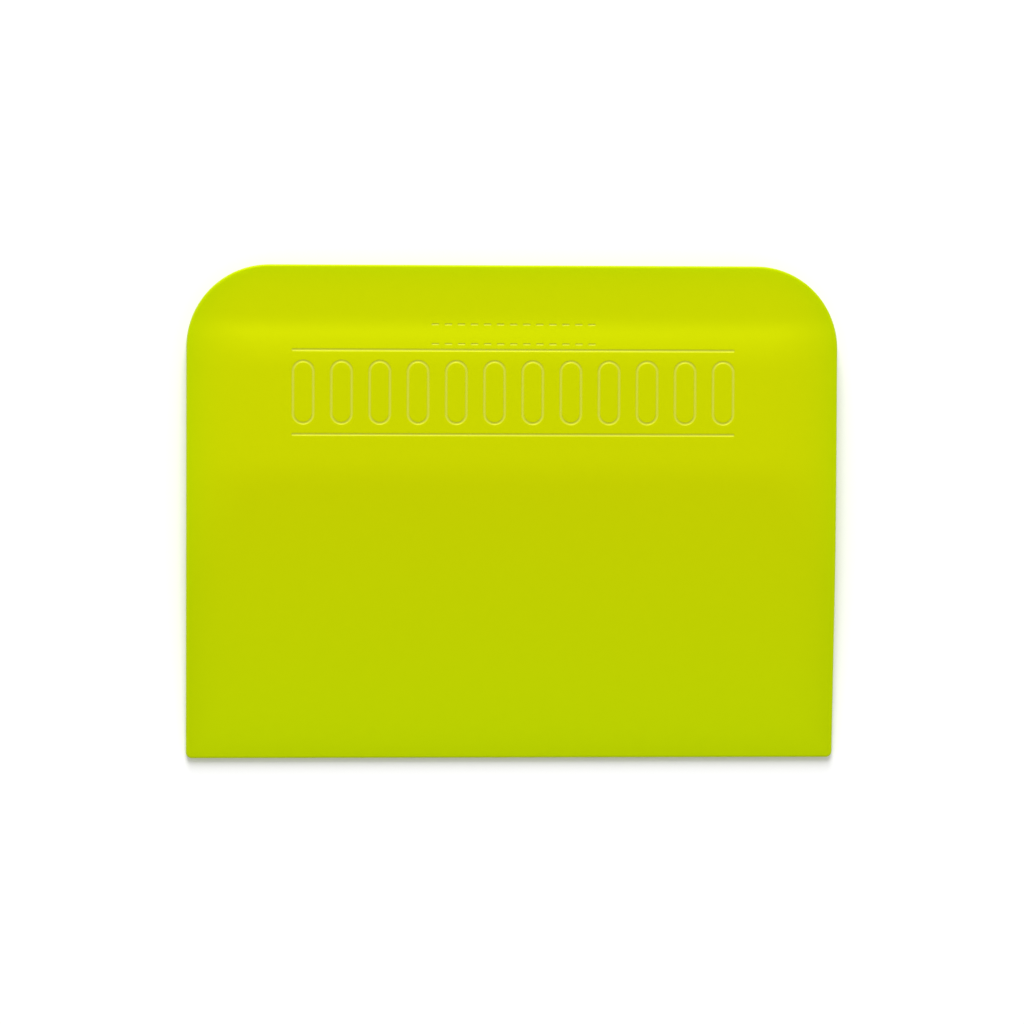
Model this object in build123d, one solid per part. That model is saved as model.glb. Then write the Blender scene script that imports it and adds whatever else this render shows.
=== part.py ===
"""Soft squeegee applicator card for laying vinyl and paint film.

The card is one moulding of soft polyurethane that lies flat on its back face.
Frame: origin at the middle of the back face, +X along the working edge,
+Y from the working edge towards the grip edge, +Z out of the front face. Millimetres.

The moulding is written as three zones that meet face to face, because the front
of the card bends against the part that the hand holds:
  grip_body   the thick slab under the hand, with its engraved grip pattern
  flex_web    the narrow strip that does the bending
  blade_lip   the thin end of the taper, with the square working edge
"""

import os
from math import atan2, tan

from build123d import *

# ---- Outline ----
card_width = 100.0  # along the working edge
card_depth = 76.0  # from the working edge to the grip edge
grip_corner_radius = 12.7  # the two rounded corners behind the hand
lip_corner_radius = 0.9  # the two corners of the working edge

# ---- Thickness, step and bevels of the front face ----
slab_thickness = 6.0
lip_thickness = 1.2  # at the working edge
taper_length = 44.4  # from the working edge to where the full thickness starts
taper_break_radius = 40.0
grip_ledge_length = 8.8  # of the flat ledge behind the slab, along the grip edge
grip_step_length = 4.4  # of the slope from the ledge up to the slab
grip_step_rise = 0.75
grip_foot_radius = 14.0  # where the ledge turns into the slope
grip_ridge_radius = 32.0  # where the slope turns into the slab
side_bevel_width = 6.0
side_bevel_drop = 1.1  # from the slab down to each side edge
side_break_radius = 57.0
side_break_lift = 0.05  # makes the side curves cross the flat instead of just touching it
edge_radius = 0.3  # all round, on both faces

# ---- Bending zone ----
web_start = 14.5  # from the working edge
web_width = 5.0

# ---- Engraved grip pattern on the front face ----
pattern_depth = 0.12
pattern_line = 0.5  # width of every long line
pattern_width = 68.0
lozenge_count = 12
lozenge_length = 10.0  # along Y
lozenge_width = 3.6
pattern_from_grip_edge = 19.5  # to the middle of the row of lozenges
rule_gap = 1.2  # clear space between the lozenges and each rule
dash_count = 13  # in each of two rows
dash_length = 1.2
dash_line = 0.35
dash_pitch = 2.0
dash_row_spacing = 3.0
dashes_from_grip_edge = 10.6  # to the middle between the two rows

# ---- Worked out from the sizes above ----
grip_ledge_thickness = slab_thickness - grip_step_rise
side_edge_thickness = slab_thickness - side_bevel_drop
front_y = -card_depth / 2
back_y = card_depth / 2
web_front_y = front_y + web_start
web_back_y = web_front_y + web_width
pattern_y = back_y - pattern_from_grip_edge
dashes_y = back_y - dashes_from_grip_edge
rule_offset = lozenge_length / 2 + rule_gap + pattern_line / 2
lozenge_pitch = (pattern_width - lozenge_width) / (lozenge_count - 1)
reach = card_width + card_depth  # longer than the card in any direction
groove_root = slab_thickness / 3  # the cutting shapes start well inside the slab

# ---- Limits used while the shape is worked out ----
room_share = 0.9  # of a slope or half flat that the round beside it may take up
ridge_share = 0.7  # of the step's slope is for the ridge's round, and the rest for the foot's
wall_tolerance = 0.001  # an edge this near the outline is on the wall
upright_share = 0.9  # an edge that rises more than this share of its length is upright


def break_radius(wanted, run, rise, flat, share=1.0):
    """The wanted radius, or the largest that fits in its share of a slope and the flat beside it."""
    half_turn = atan2(rise, run) / 2
    room = room_share * min(share * run, flat)
    return min(wanted, room / tan(half_turn))


def length_section():
    """The section along Y, from the working edge over the slab and its step to the grip edge."""
    foot_y = back_y - grip_ledge_length
    ridge_y = foot_y - grip_step_length
    taper_end_y = front_y + taper_length
    flat = (ridge_y - taper_end_y) / 2
    taper_radius = break_radius(
        taper_break_radius, taper_length, slab_thickness - lip_thickness, flat
    )
    ridge_radius = break_radius(
        grip_ridge_radius, grip_step_length, grip_step_rise, flat, ridge_share
    )
    foot_radius = break_radius(
        grip_foot_radius,
        grip_step_length,
        grip_step_rise,
        grip_ledge_length,
        1 - ridge_share,
    )
    corners = [
        (front_y, 0),
        (front_y, lip_thickness),
        (taper_end_y, slab_thickness),
        (ridge_y, slab_thickness),
        (foot_y, grip_ledge_thickness),
        (back_y, grip_ledge_thickness),
        (back_y, 0),
    ]
    line = FilletPolyline(
        corners,
        radius=[0, 0, taper_radius, ridge_radius, foot_radius, 0, 0],
        close=True,
    )
    return extrude(Plane.YZ * make_face(line), amount=reach / 2, both=True)


def width_section():
    """The section along X, with a shallow bevel down to each side."""
    half = card_width / 2
    flat = half - side_bevel_width
    top = slab_thickness + side_break_lift
    radius = break_radius(
        side_break_radius, side_bevel_width, top - side_edge_thickness, flat
    )
    corners = [
        (-half, 0),
        (-half, side_edge_thickness),
        (-half + side_bevel_width, top),
        (half - side_bevel_width, top),
        (half, side_edge_thickness),
        (half, 0),
    ]
    line = FilletPolyline(corners, radius=[0, 0, radius, radius, 0, 0], close=True)
    return extrude(Plane.XZ * make_face(line), amount=reach / 2, both=True)


def outline():
    """The card seen from above: two large corners at the grip, two small at the blade."""
    face = Rectangle(card_width, card_depth)
    grip_corners = face.vertices().group_by(Axis.Y)[-1]
    face = fillet(grip_corners, grip_corner_radius)
    lip_corners = face.vertices().group_by(Axis.Y)[0]
    return fillet(lip_corners, lip_corner_radius)


def crowned_card():
    """The whole moulding with sharp edges and no pattern."""
    return extrude(outline(), amount=slab_thickness) & length_section() & width_section()


def round_edges(card):
    """Rounds the rims of the back and front faces, but no break between bevels."""
    wall = outline().wire()

    def is_rim(edge):
        middle = edge.position_at(0.5)
        gap = wall.distance_to(Vertex(middle.X, middle.Y, 0))
        upright = abs(edge.tangent_at(0.5).Z) > upright_share
        return gap < wall_tolerance and not upright

    return fillet([edge for edge in card.edges() if is_rim(edge)], edge_radius)


def lozenge_outline():
    """One upright lozenge with round ends, drawn as a line of even width."""
    inner_length = lozenge_length - 2 * pattern_line
    inner_width = lozenge_width - 2 * pattern_line
    ring = SlotOverall(lozenge_length, lozenge_width)
    return Rot(Z=90) * (ring - SlotOverall(inner_length, inner_width))


def row(shape, count, pitch, y):
    """Copies of a shape, evenly spaced along X and centred on the card."""
    return [Pos((i - (count - 1) / 2) * pitch, y) * shape for i in range(count)]


def pattern_plan():
    """The grooves seen from above: lozenges between two rules, and two rows of dashes."""
    rule = SlotOverall(pattern_width, pattern_line)
    dash = SlotOverall(dash_length, dash_line)
    plans = row(lozenge_outline(), lozenge_count, lozenge_pitch, pattern_y)
    for side in (-1, 1):
        plans += [Pos(0, pattern_y + side * rule_offset) * rule]
        dash_y = dashes_y + side * dash_row_spacing / 2
        plans += row(dash, dash_count, dash_pitch, dash_y)
    return plans


def grooves(card):
    """What the pattern takes out of the card: every groove is equally deep in the crowned face."""
    floor = Pos(0, 0, -pattern_depth) * card
    return [
        extrude(Pos(0, 0, groove_root) * plan, amount=slab_thickness) - floor
        for plan in pattern_plan()
    ]


def zone(card, low_y, high_y):
    """The stretch of the moulding between two planes across it."""
    length = high_y - low_y
    return card & Pos(0, (low_y + high_y) / 2, 0) * Box(reach, length, reach)


card = round_edges(crowned_card())
for groove in grooves(card):
    card = card - groove

nodes = {
    "grip_body": zone(card, web_back_y, back_y + reach / 2),
    "flex_web": zone(card, web_front_y, web_back_y),
    "blade_lip": zone(card, front_y - reach / 2, web_front_y),
}

os.makedirs("parts", exist_ok=True)
for name, shape in nodes.items():
    shape.label = name
    export_step(shape, f"parts/{name}.step")
    print(name, "solids", len(shape.solids()), "volume", round(shape.volume, 1))
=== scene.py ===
"""A soft polyurethane squeegee card, as it lies on a white table under soft studio light."""

import math

import bmesh
import bpy
from mathutils import Matrix, Vector


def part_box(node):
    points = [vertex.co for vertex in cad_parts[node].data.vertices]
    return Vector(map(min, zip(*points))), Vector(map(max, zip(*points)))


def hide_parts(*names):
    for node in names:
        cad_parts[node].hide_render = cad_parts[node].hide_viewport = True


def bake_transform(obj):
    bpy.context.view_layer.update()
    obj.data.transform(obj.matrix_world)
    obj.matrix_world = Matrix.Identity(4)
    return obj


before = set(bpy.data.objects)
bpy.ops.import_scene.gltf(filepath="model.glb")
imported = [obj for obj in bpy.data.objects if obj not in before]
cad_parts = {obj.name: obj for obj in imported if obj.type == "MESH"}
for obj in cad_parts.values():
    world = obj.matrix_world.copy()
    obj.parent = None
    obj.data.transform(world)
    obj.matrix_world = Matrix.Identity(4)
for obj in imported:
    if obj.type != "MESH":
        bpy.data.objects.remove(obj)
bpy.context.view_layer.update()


# ---- The moulding ----
# The whole card is one piece of soft polyurethane, moulded in one shot, with a faint parting
# line round its wall. It is thick under the hand, steps down softly to a ledge along the
# grip edge, rolls off to both sides and tapers to a thin square working edge.

slab_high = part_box("grip_body")[1]
half_width = slab_high.x
grip_edge_y = slab_high.y
working_edge_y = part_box("blade_lip")[0].y
slab_top = slab_high.z

grip_corner = 0.0127
lip_corner = 0.0009
rim = 0.0003  # the small round all along the edges, on both faces

lip_thickness = 0.0012
taper_length = 0.0444
taper_softness = 0.00023
ledge_length = 0.0088
step_length = 0.0044
step_rise = 0.00075
foot_softness = 0.0002
ridge_softness = 0.00047
side_bevel = 0.006
side_drop = 0.0011
side_softness = 0.00104


def soft_min(a, b, softness):
    """The lower of two heights, with the corner between them rounded over."""
    near = max(softness - abs(a - b), 0.0)
    return min(a, b) - near * near / (4 * softness)


def crown(x, y):
    """How thick the card is at a place, which is also how high its front face stands."""
    from_working_edge = y - working_edge_y
    from_grip_edge = grip_edge_y - y
    from_side = half_width - abs(x)
    taper = lip_thickness + from_working_edge * (slab_top - lip_thickness) / taper_length
    ledge = slab_top - step_rise
    step = ledge + (from_grip_edge - ledge_length) * step_rise / step_length
    side = slab_top - side_drop + from_side * side_drop / side_bevel
    step = -soft_min(-step, -ledge, foot_softness)
    height = soft_min(slab_top, step, ridge_softness)
    height = soft_min(height, taper, taper_softness)
    return soft_min(height, side, side_softness)


def nearest_corner(y):
    """The radius of the outline's corner at this end of the card, and the y of its centre."""
    if y > 0:
        return grip_corner, grip_edge_y - grip_corner
    return lip_corner, working_edge_y + lip_corner


def outward(place):
    """The direction that leaves the card square to its outline."""
    radius, centre_y = nearest_corner(place.y)
    past_x = max(abs(place.x) - (half_width - radius), 0.0)
    past_y = place.y - centre_y
    if abs(place.y) < abs(centre_y):
        past_y = 0.0
    return Vector((math.copysign(past_x, place.x), past_y, 0)).normalized()


face_edge = rim + 0.00012  # the face stops here, just short of its rounded rim
same_place = 1e-7  # points that are nearer to each other than this are made one
lip_rows, straight_rows, grip_rows = 8, 120, 32
face_rows = lip_rows + straight_rows + grip_rows
face_columns = 76


def row_place(row):
    """Where a row of the face lies, and how far it reaches to each side."""
    reach = half_width - face_edge
    lip_round = lip_corner - face_edge
    grip_round = grip_corner - face_edge
    straight_start = working_edge_y + lip_corner
    straight_end = grip_edge_y - grip_corner
    if row <= lip_rows:
        turn = math.pi / 2 * row / lip_rows
        return straight_start - lip_round * math.cos(turn), reach - lip_round * (1 - math.sin(turn))
    if row <= lip_rows + straight_rows:
        share = (row - lip_rows) / straight_rows
        return straight_start + share * (straight_end - straight_start), reach
    turn = math.pi / 2 * (row - lip_rows - straight_rows) / grip_rows
    return straight_end + grip_round * math.sin(turn), reach - grip_round * (1 - math.cos(turn))


moulding = bmesh.new()
bmesh.ops.create_grid(moulding, x_segments=face_columns, y_segments=face_rows, size=0.5)
for vertex in moulding.verts:
    across = 2 * vertex.co.x
    across = (across + math.sin(across * math.pi / 2)) / 2  # closer together near the sides
    row_y, reach = row_place(round((vertex.co.y + 0.5) * face_rows))
    vertex.co = Vector((across * reach, row_y, 0))

front_faces = moulding.faces[:]
back = bmesh.ops.duplicate(moulding, geom=moulding.verts[:] + moulding.edges[:] + front_faces)
back_faces = [item for item in back["geom"] if isinstance(item, bmesh.types.BMFace)]
bmesh.ops.reverse_faces(moulding, faces=back_faces)
for vertex in {v for face in front_faces for v in face.verts}:
    vertex.co.z = crown(vertex.co.x, vertex.co.y)

# The wall is drawn down from the front face, ring by ring: the rounded rim, the straight
# wall with the hairline that the mould's parting left, and the rim of the back face.
parting_height = 0.00055
parting_line = 0.00003  # how far the hairline stands out of the wall, and half its width
rim_steps = 5
rim_turns = [math.pi / 2 * step / rim_steps for step in range(rim_steps + 1)]
rim_curve = [(parting_line + rim * (1 - math.sin(turn)), rim * (1 - math.cos(turn))) for turn in rim_turns]
wall_rings = [(inset, "front", depth) for inset, depth in rim_curve]
wall_rings += [(parting_line, "back", parting_height + parting_line), (0.0, "back", parting_height)]
wall_rings += [(parting_line, "back", parting_height - parting_line)]
wall_rings += [(inset, "back", depth) for inset, depth in reversed(rim_curve)]
wall_rings += [(face_edge, "back", 0.0)]

on_front = set(front_faces)
ring = [edge for edge in moulding.edges if edge.is_boundary and edge.link_faces[0] in on_front]
inset_now = face_edge
for inset, measured_from, depth in wall_rings:
    drawn = bmesh.ops.extrude_edge_only(moulding, edges=ring)["geom"]
    ring = [item for item in drawn if isinstance(item, bmesh.types.BMEdge) and item.is_boundary]
    for vertex in [item for item in drawn if isinstance(item, bmesh.types.BMVert)]:
        vertex.co += outward(vertex.co) * (inset_now - inset)
        front_height = crown(vertex.co.x, vertex.co.y)
        vertex.co.z = front_height - depth if measured_from == "front" else depth
    inset_now = inset
bmesh.ops.remove_doubles(moulding, verts=moulding.verts[:], dist=same_place)
bmesh.ops.recalc_face_normals(moulding, faces=moulding.faces[:])

card_mesh = bpy.data.meshes.new("squeegee_card")
moulding.to_mesh(card_mesh)
moulding.free()
card = bpy.data.objects.new("squeegee_card", card_mesh)
bpy.context.collection.objects.link(card)


# ---- The engraved grip pattern ----
# Shallow round grooves in the front face, where the fingers press: a row of upright
# lozenges between two long rules, and two short rows of dashes over the ridge. The mould
# forms them with the rest, so here they are taken out of the card by round cutters.

pattern_depth = 0.00012
pattern_line = 0.0005
cutter_sides = 24
lozenge_end_steps = 16
bar_end_rings = 13  # odd, so that none of them lies across the middle of the bar
pattern_width = 0.068
lozenge_count = 12
lozenge_length = 0.010
lozenge_width = 0.0036
pattern_y = grip_edge_y - 0.0195
rule_gap = 0.0012
rule_offset = lozenge_length / 2 + rule_gap + pattern_line / 2
dash_count = 13
dash_length = 0.0012
dash_line = 0.00035
dash_pitch = 0.002
dash_row_spacing = 0.003
dashes_y = grip_edge_y - 0.0106


def cutter_section(line):
    """Radius of a round cutter that leaves a groove this wide, and its height over the face."""
    radius = ((line / 2) ** 2 + pattern_depth**2) / (2 * pattern_depth)
    return radius, radius - pattern_depth


def lozenge_cutter(cutters):
    """One closed ring: half of it is turned round its end, drawn to the middle and mirrored."""
    radius, height = cutter_section(pattern_line)
    turn_radius = (lozenge_width - pattern_line) / 2
    stand = Matrix.Translation((turn_radius, 0, height)) @ Matrix.Rotation(math.pi / 2, 4, "X")
    start = bmesh.ops.create_circle(cutters, segments=cutter_sides, radius=radius, matrix=stand)["verts"]
    circle = start + cutters.edges[:]
    bmesh.ops.spin(
        cutters, geom=circle, cent=(0, 0, 0), axis=(0, 0, 1), angle=math.pi, steps=lozenge_end_steps
    )
    bmesh.ops.translate(cutters, verts=cutters.verts[:], vec=(0, (lozenge_length - lozenge_width) / 2, 0))
    ends = [edge for edge in cutters.edges if edge.is_boundary]
    drawn = bmesh.ops.extrude_edge_only(cutters, edges=ends)["geom"]
    for vertex in [item for item in drawn if isinstance(item, bmesh.types.BMVert)]:
        vertex.co.y = 0.0
    half = cutters.verts[:] + cutters.edges[:] + cutters.faces[:]
    bmesh.ops.mirror(cutters, geom=half, axis="Y", merge_dist=same_place)


def straight_cutter(cutters, length, line, cuts):
    """One straight bar along X with round ends, in short runs so that it can follow the face."""
    radius, height = cutter_section(line)
    end_reach = math.sqrt(radius**2 - height**2)  # where the round end meets the face
    stand = Matrix.Translation((0, 0, height)) @ Matrix.Rotation(math.pi / 2, 4, "Y")
    ball = bmesh.ops.create_uvsphere(
        cutters, u_segments=cutter_sides, v_segments=bar_end_rings, radius=radius, matrix=stand
    )["verts"]
    for vertex in ball:
        vertex.co.x += math.copysign(length / 2 - end_reach, vertex.co.x)
    runs = [edge for edge in cutters.edges if edge.verts[0].co.x * edge.verts[1].co.x < 0]
    bmesh.ops.subdivide_edges(cutters, edges=runs, cuts=cuts)


def place_row(shape, count, pitch, y):
    """Adds copies of a finished cutter to the pattern, evenly spaced along X."""
    for number in range(count):
        copy = bpy.data.meshes.new("cutter")
        shape.to_mesh(copy)
        copy.transform(Matrix.Translation(((number - (count - 1) / 2) * pitch, y, 0)))
        pattern.from_mesh(copy)
        bpy.data.meshes.remove(copy)


pattern = bmesh.new()
lozenge = bmesh.new()
rule = bmesh.new()
dash = bmesh.new()
lozenge_cutter(lozenge)
straight_cutter(rule, pattern_width, pattern_line, cuts=40)
straight_cutter(dash, dash_length, dash_line, cuts=4)
place_row(lozenge, lozenge_count, (pattern_width - lozenge_width) / (lozenge_count - 1), pattern_y)
for side in (-1, 1):
    place_row(rule, 1, 0, pattern_y + side * rule_offset)
    place_row(dash, dash_count, dash_pitch, dashes_y + side * dash_row_spacing / 2)
for cutter in (lozenge, rule, dash):
    cutter.free()
for vertex in pattern.verts:
    vertex.co.z += crown(vertex.co.x, vertex.co.y)
bmesh.ops.recalc_face_normals(pattern, faces=pattern.faces[:])

pattern_mesh = bpy.data.meshes.new("pattern_cutters")
pattern.to_mesh(pattern_mesh)
pattern.free()
pattern_cutters = bpy.data.objects.new("pattern_cutters", pattern_mesh)
bpy.context.collection.objects.link(pattern_cutters)
engrave = card.modifiers.new("engrave", "BOOLEAN")
engrave.operation = "DIFFERENCE"
engrave.solver = "EXACT"
engrave.object = pattern_cutters
joined = bpy.data.meshes.new_from_object(card.evaluated_get(bpy.context.evaluated_depsgraph_get()))
card.modifiers.clear()
card.data = joined
bpy.data.meshes.remove(card_mesh)
bpy.data.objects.remove(pattern_cutters)
bpy.data.meshes.remove(pattern_mesh)
joined.name = "squeegee_card"
sharp_angle = math.radians(32)
for polygon in joined.polygons:
    polygon.use_smooth = True
joined.set_sharp_from_angle(angle=sharp_angle)


def from_outline(place):
    """How far inside the outline a place lies."""
    radius, centre_y = nearest_corner(place.y)
    past_x = abs(place.x) - (half_width - radius)
    past_y = abs(place.y) - abs(centre_y)
    if past_x > 0 and past_y > 0:
        return radius - math.hypot(past_x, past_y)
    return min(half_width - abs(place.x), grip_edge_y - place.y, place.y - working_edge_y)


# The card remembers how thick it is at each place, how near its edge and how deep in a groove, so that the
# colour stays with the material when the blade bends. Nearness to the edge drives a painted shade there,
# and depth in a groove drives a painted highlight. All three are added before any is looked up, because
# adding one can spoil a reference to another.
# how far in from the edge the painted shade reaches
edge_shade_reach = 0.0025
for name in ("thickness", "edge", "groove"):
    joined.attributes.new(name, "FLOAT", "POINT")
thickness = joined.attributes["thickness"]
edge = joined.attributes["edge"]
groove = joined.attributes["groove"]
for vertex in joined.vertices:
    height = crown(vertex.co.x, vertex.co.y)
    inland = from_outline(vertex.co)
    on_field = inland > side_bevel and vertex.co.z > height / 2
    thickness.data[vertex.index].value = height
    edge.data[vertex.index].value = math.exp(-inland / edge_shade_reach)
    groove.data[vertex.index].value = (height - vertex.co.z) / pattern_depth if on_field else 0.0


# ---- The polyurethane ----
# A fluorescent lime polyurethane, slightly see-through, with the even satin face that the mould left.
# Where it is thick it looks yellow and the thin blade looks greener. Near the edges the colour is painted
# darker and greener as a painted shade, and in the grooves it is painted paler as a painted highlight for
# the glint on their walls.
# The gloss is tinted yellow to keep the colour deep, where a real clear gloss would be white.

thick_lime = (0.501, 0.559, 0.0, 1)
thin_lime = (0.464, 0.600, 0.0, 1)
# painted shade: the colour is darker and greener near the edges
edge_shade_lime = (0.417, 0.542, 0.0, 1)
# painted highlight: the colour is paler in the grooves, for the glint on their walls
groove_highlight_lime = (0.56, 0.59, 0.05, 1)


def new_node(tree, kind, **settings):
    """A node of this kind, with its settings in place."""
    node = tree.nodes.new(kind)
    for name, value in settings.items():
        setattr(node, name, value)
    return node


lime = bpy.data.materials.new("lime_polyurethane")
lime.use_nodes = True
tree = lime.node_tree
surface = tree.nodes["Principled BSDF"]
surface.inputs["Roughness"].default_value = 0.39
surface.inputs["IOR"].default_value = 1.5
surface.inputs["Specular Tint"].default_value = (1.0, 1.0, 0.01, 1)
surface.inputs["Subsurface Weight"].default_value = 0.25
surface.inputs["Subsurface Radius"].default_value = (1.0, 1.1, 0.1)
surface.inputs["Subsurface Scale"].default_value = 0.002

wall = new_node(tree, "ShaderNodeAttribute", attribute_name="thickness")
depth = new_node(tree, "ShaderNodeMapRange")
depth.inputs["From Min"].default_value = lip_thickness
depth.inputs["From Max"].default_value = slab_top
hue = new_node(tree, "ShaderNodeMix", data_type="RGBA")
hue.inputs["A"].default_value = thin_lime
hue.inputs["B"].default_value = thick_lime
tree.links.new(wall.outputs["Fac"], depth.inputs["Value"])
tree.links.new(depth.outputs["Result"], hue.inputs["Factor"])
# painted shade: the colour turns darker and greener towards the edges
edge_shaded = new_node(tree, "ShaderNodeMix", data_type="RGBA")
edge_shaded.inputs["B"].default_value = edge_shade_lime
edge_shade_mask = new_node(tree, "ShaderNodeAttribute", attribute_name="edge")
tree.links.new(edge_shade_mask.outputs["Fac"], edge_shaded.inputs["Factor"])
tree.links.new(hue.outputs["Result"], edge_shaded.inputs["A"])
# painted highlight: the colour turns paler in the grooves
engraved = new_node(tree, "ShaderNodeMix", data_type="RGBA")
engraved.inputs["B"].default_value = groove_highlight_lime
groove_highlight_mask = new_node(tree, "ShaderNodeAttribute", attribute_name="groove")
tree.links.new(groove_highlight_mask.outputs["Fac"], engraved.inputs["Factor"])
tree.links.new(edge_shaded.outputs["Result"], engraved.inputs["A"])
tree.links.new(engraved.outputs["Result"], surface.inputs["Base Color"])

joined.materials.clear()
joined.materials.append(lime)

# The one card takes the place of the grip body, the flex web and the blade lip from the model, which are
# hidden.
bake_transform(card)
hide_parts("grip_body", "flex_web", "blade_lip")


# ---- Table, light and camera ----
# The card lies on a plain white table top. One broad softbox beyond the grip edge lights the
# step and the grooves and casts the short shadow of the working edge, and the room is white.

table_reach = 4.0
table_gap = 0.00003  # keeps the table top from touching the back face
table_white = (0.93, 0.93, 0.93, 1)
table_mesh = bpy.data.meshes.new("table_top")
table_top = bmesh.new()
bmesh.ops.create_grid(table_top, x_segments=1, y_segments=1, size=table_reach)
bmesh.ops.translate(table_top, verts=table_top.verts[:], vec=(0, 0, -table_gap))
table_top.to_mesh(table_mesh)
table_top.free()
table = bpy.data.objects.new("table_top", table_mesh)
bpy.context.collection.objects.link(table)
white = bpy.data.materials.new("white_table")
white.use_nodes = True
table_surface = white.node_tree.nodes["Principled BSDF"]
table_surface.inputs["Base Color"].default_value = table_white
table_surface.inputs["Roughness"].default_value = 0.8
table_surface.inputs["Specular IOR Level"].default_value = 0.0
table_mesh.materials.append(white)


def softbox(name, direction, distance, width, depth, power):
    """A rectangular lamp that faces the card from the given direction."""
    lamp_data = bpy.data.lights.new(name, "AREA")
    lamp_data.shape = "RECTANGLE"
    lamp_data.size = width
    lamp_data.size_y = depth
    lamp_data.energy = power
    lamp = bpy.data.objects.new(name, lamp_data)
    aim = Vector(direction).normalized()
    lamp.location = aim * distance
    lamp.rotation_mode = "QUATERNION"
    lamp.rotation_quaternion = (-aim).to_track_quat("-Z", "Y")
    bpy.context.collection.objects.link(lamp)


softbox("far_softbox", direction=(-0.06, 0.8, 0.6), distance=1.3, width=0.6, depth=1.2, power=19.2)

room = bpy.data.worlds.new("white_room")
room.use_nodes = True
room.node_tree.nodes["Background"].inputs["Color"].default_value = (1, 1, 1, 1)
room.node_tree.nodes["Background"].inputs["Strength"].default_value = 0.61
bpy.context.scene.world = room
bpy.context.scene.view_settings.view_transform = "Standard"

camera_data = bpy.data.cameras.new("camera")
camera_data.lens = 171.3
camera_data.clip_start = 0.01
camera = bpy.data.objects.new("camera", camera_data)
aimed_at = Vector((0.00021, -0.00003, 0))
camera_place = Vector((-0.0491, 0.0318, 0.75))
camera_roll = math.radians(0.228)
backwards = (camera_place - aimed_at).normalized()
rightwards = Vector((0, 1, 0)).cross(backwards).normalized()
upwards = backwards.cross(rightwards)
turned = Matrix((rightwards, upwards, backwards)).transposed() @ Matrix.Rotation(camera_roll, 3, "Z")
camera.matrix_world = Matrix.Translation(camera_place) @ turned.to_4x4()
bpy.context.collection.objects.link(camera)
bpy.context.scene.camera = camera
